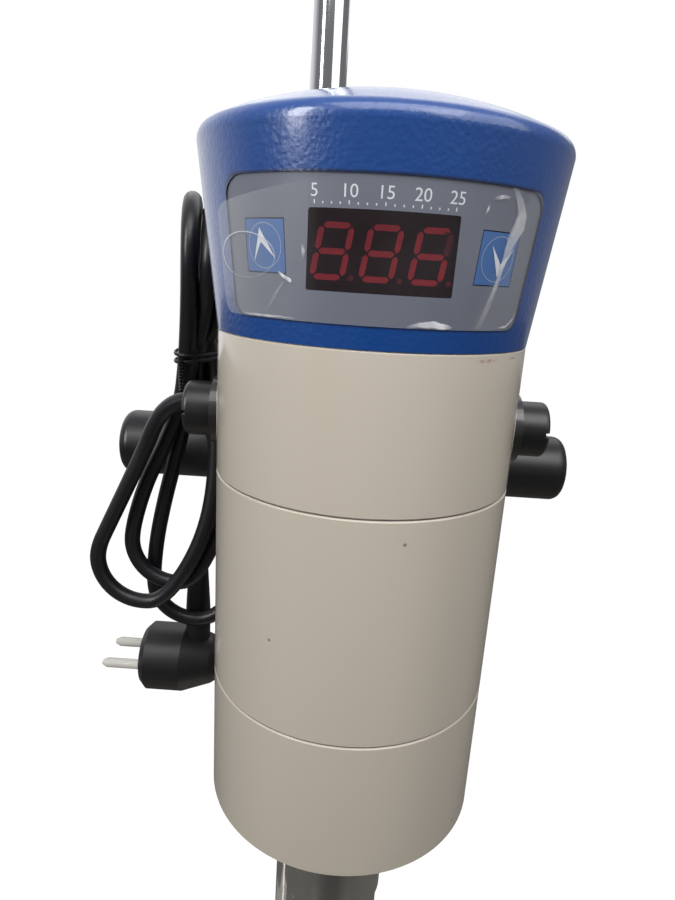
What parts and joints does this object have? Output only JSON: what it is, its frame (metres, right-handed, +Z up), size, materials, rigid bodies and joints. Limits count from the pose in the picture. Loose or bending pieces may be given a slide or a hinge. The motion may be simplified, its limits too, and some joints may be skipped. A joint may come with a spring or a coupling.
{
  "type": "laboratory homogenizer",
  "caption": "Motor head with a flared digital control cap on a rod stand, driving a slotted rotor and stator tool.",
  "frame": {"origin": "centre of the base plate's outline, on the surface under its feet", "axes": "+Z up along the column, the control panel faces -Y, +X to the right of a user who faces the panel"},
  "size_m": [0.25, 0.3, 0.69],
  "materials": {
    "cream_paint": "glossy paint",
    "base_paint": "glossy paint",
    "black_paint": "satin black paint",
    "chrome": "polished chrome",
    "stainless": "polished stainless steel",
    "zinc": "bright zinc",
    "black_plastic": "satin black",
    "blue_plastic": "fine grained, semi gloss",
    "panel_grey": "printed film",
    "smoked_window": "dark red tint",
    "led_black": "matt",
    "led_red": "diffuser",
    "key_blue": "printed film",
    "board_green": "solder mask",
    "bakelite": "moulded",
    "carbon": "pressed carbon",
    "copper": "bare or enamelled copper",
    "lamination": "stacked sheets",
    "steel": "ground",
    "cast_aluminium": "cast",
    "nylon": "natural",
    "fan_plastic": "moulded",
    "rubber": "matt",
    "cord_black": "satin sheath",
    "pin_sleeve": "pale protective sleeve"
  },
  "bodies": {
    "stand": {"base_plate": "base_paint", "rubber_feet": "rubber", "foot_screws": "zinc", "column": "chrome", "column_nut": "zinc"},
    "column_liner": {"column_liner": "nylon"},
    "clamp": {"clamp_body": "black_paint"},
    "arm_liner": {"arm_liner": "nylon"},
    "column_knob": {"column_clamp_screw": "zinc", "column_clamp_knob": "black_plastic"},
    "arm_knob": {"arm_clamp_screw": "zinc", "arm_clamp_knob": "black_plastic"},
    "rotor": {"armature_core": "lamination", "armature_windings": "copper", "commutator": "copper", "motor_shaft": "steel", "cooling_fan": "fan_plastic", "drive_coupling": "steel", "tool_shaft": "stainless", "rotor_knife": "stainless"},
    "key_up": {"key_up": "key_blue"},
    "key_down": {"key_down": "key_blue"},
    "coupling_nut": {"coupling_nut": "stainless"},
    "head": {"support_arm": "stainless", "head_screws": "zinc", "lower_housing": "cream_paint", "middle_housing": "cream_paint", "upper_housing": "cream_paint", "housing_bolts": "zinc", "control_cap": "blue_plastic", "panel_overlay": "panel_grey", "display_window": "smoked_window", "led_display": "led_black", "display_digits": "led_red", "circuit_board": "board_green", "power_board": "board_green", "key_switches": "led_black", "brush_cap_left": "black_plastic", "brush_cap_right": "black_plastic", "brush_holder_left": "bakelite", "brush_holder_right": "bakelite", "carbon_brushes": "carbon", "brush_springs": "steel", "field_stator": "lamination", "field_coils": "copper", "upper_bearing": "steel", "lower_bearing": "steel", "bearing_bracket": "cast_aluminium", "nose_sleeve": "stainless", "shaft_seal": "rubber", "tool_tube": "stainless", "stator_head": "stainless", "tool_bushes": "nylon", "cord_gland": "black_plastic", "cord_tube": "cord_black", "cord_hank": "cord_black", "cord_tie": "black_plastic", "plug_body": "black_plastic", "plug_pins": "pin_sleeve"}
  },
  "joints": [
    {"name": "head_lift", "type": "slide", "parent": "stand", "child": "column_liner", "axis": [0, 0, 1], "range_m": [-0.04, 0.22]},
    {"name": "clamp_swing", "type": "hinge", "parent": "column_liner", "child": "clamp", "pos_m": [-0.024, 0.099, 0.413], "axis": [0, 0, 1], "range_deg": [-90, 90]},
    {"name": "arm_roll", "type": "hinge", "parent": "clamp", "child": "arm_liner", "pos_m": [0, 0.099, 0.413], "axis": [0, 1, 0], "range_deg": [-90, 90]},
    {"name": "arm_reach", "type": "slide", "parent": "arm_liner", "child": "head", "axis": [0, -1, 0], "range_m": [0, 0.025]},
    {"name": "column_knob_turn", "type": "hinge", "parent": "clamp", "child": "column_knob", "pos_m": [-0.056, 0.099, 0.413], "axis": [-1, 0, 0], "range_deg": [0, 360]},
    {"name": "arm_knob_turn", "type": "hinge", "parent": "clamp", "child": "arm_knob", "pos_m": [0.041, 0.099, 0.413], "axis": [1, 0, 0], "range_deg": [0, 360]},
    {"name": "key_up_press", "type": "slide", "parent": "head", "child": "key_up", "axis": [0.5736, 0.8192, 0], "range_m": [0, 0.0004], "stiffness_N_per_m": 1500, "springref_m": -0.0006},
    {"name": "key_down_press", "type": "slide", "parent": "head", "child": "key_down", "axis": [-0.5736, 0.8192, 0], "range_m": [0, 0.0004], "stiffness_N_per_m": 1500, "springref_m": -0.0006},
    {"name": "rotor_spin", "type": "hinge", "parent": "head", "child": "rotor", "pos_m": [0, 0, 0.32], "axis": [0, 0, 1], "continuous": true},
    {"name": "coupling_nut_turn", "type": "hinge", "parent": "head", "child": "coupling_nut", "pos_m": [0, 0, 0.245], "axis": [0, 0, 1], "range_deg": [0, 360]}
  ]
}
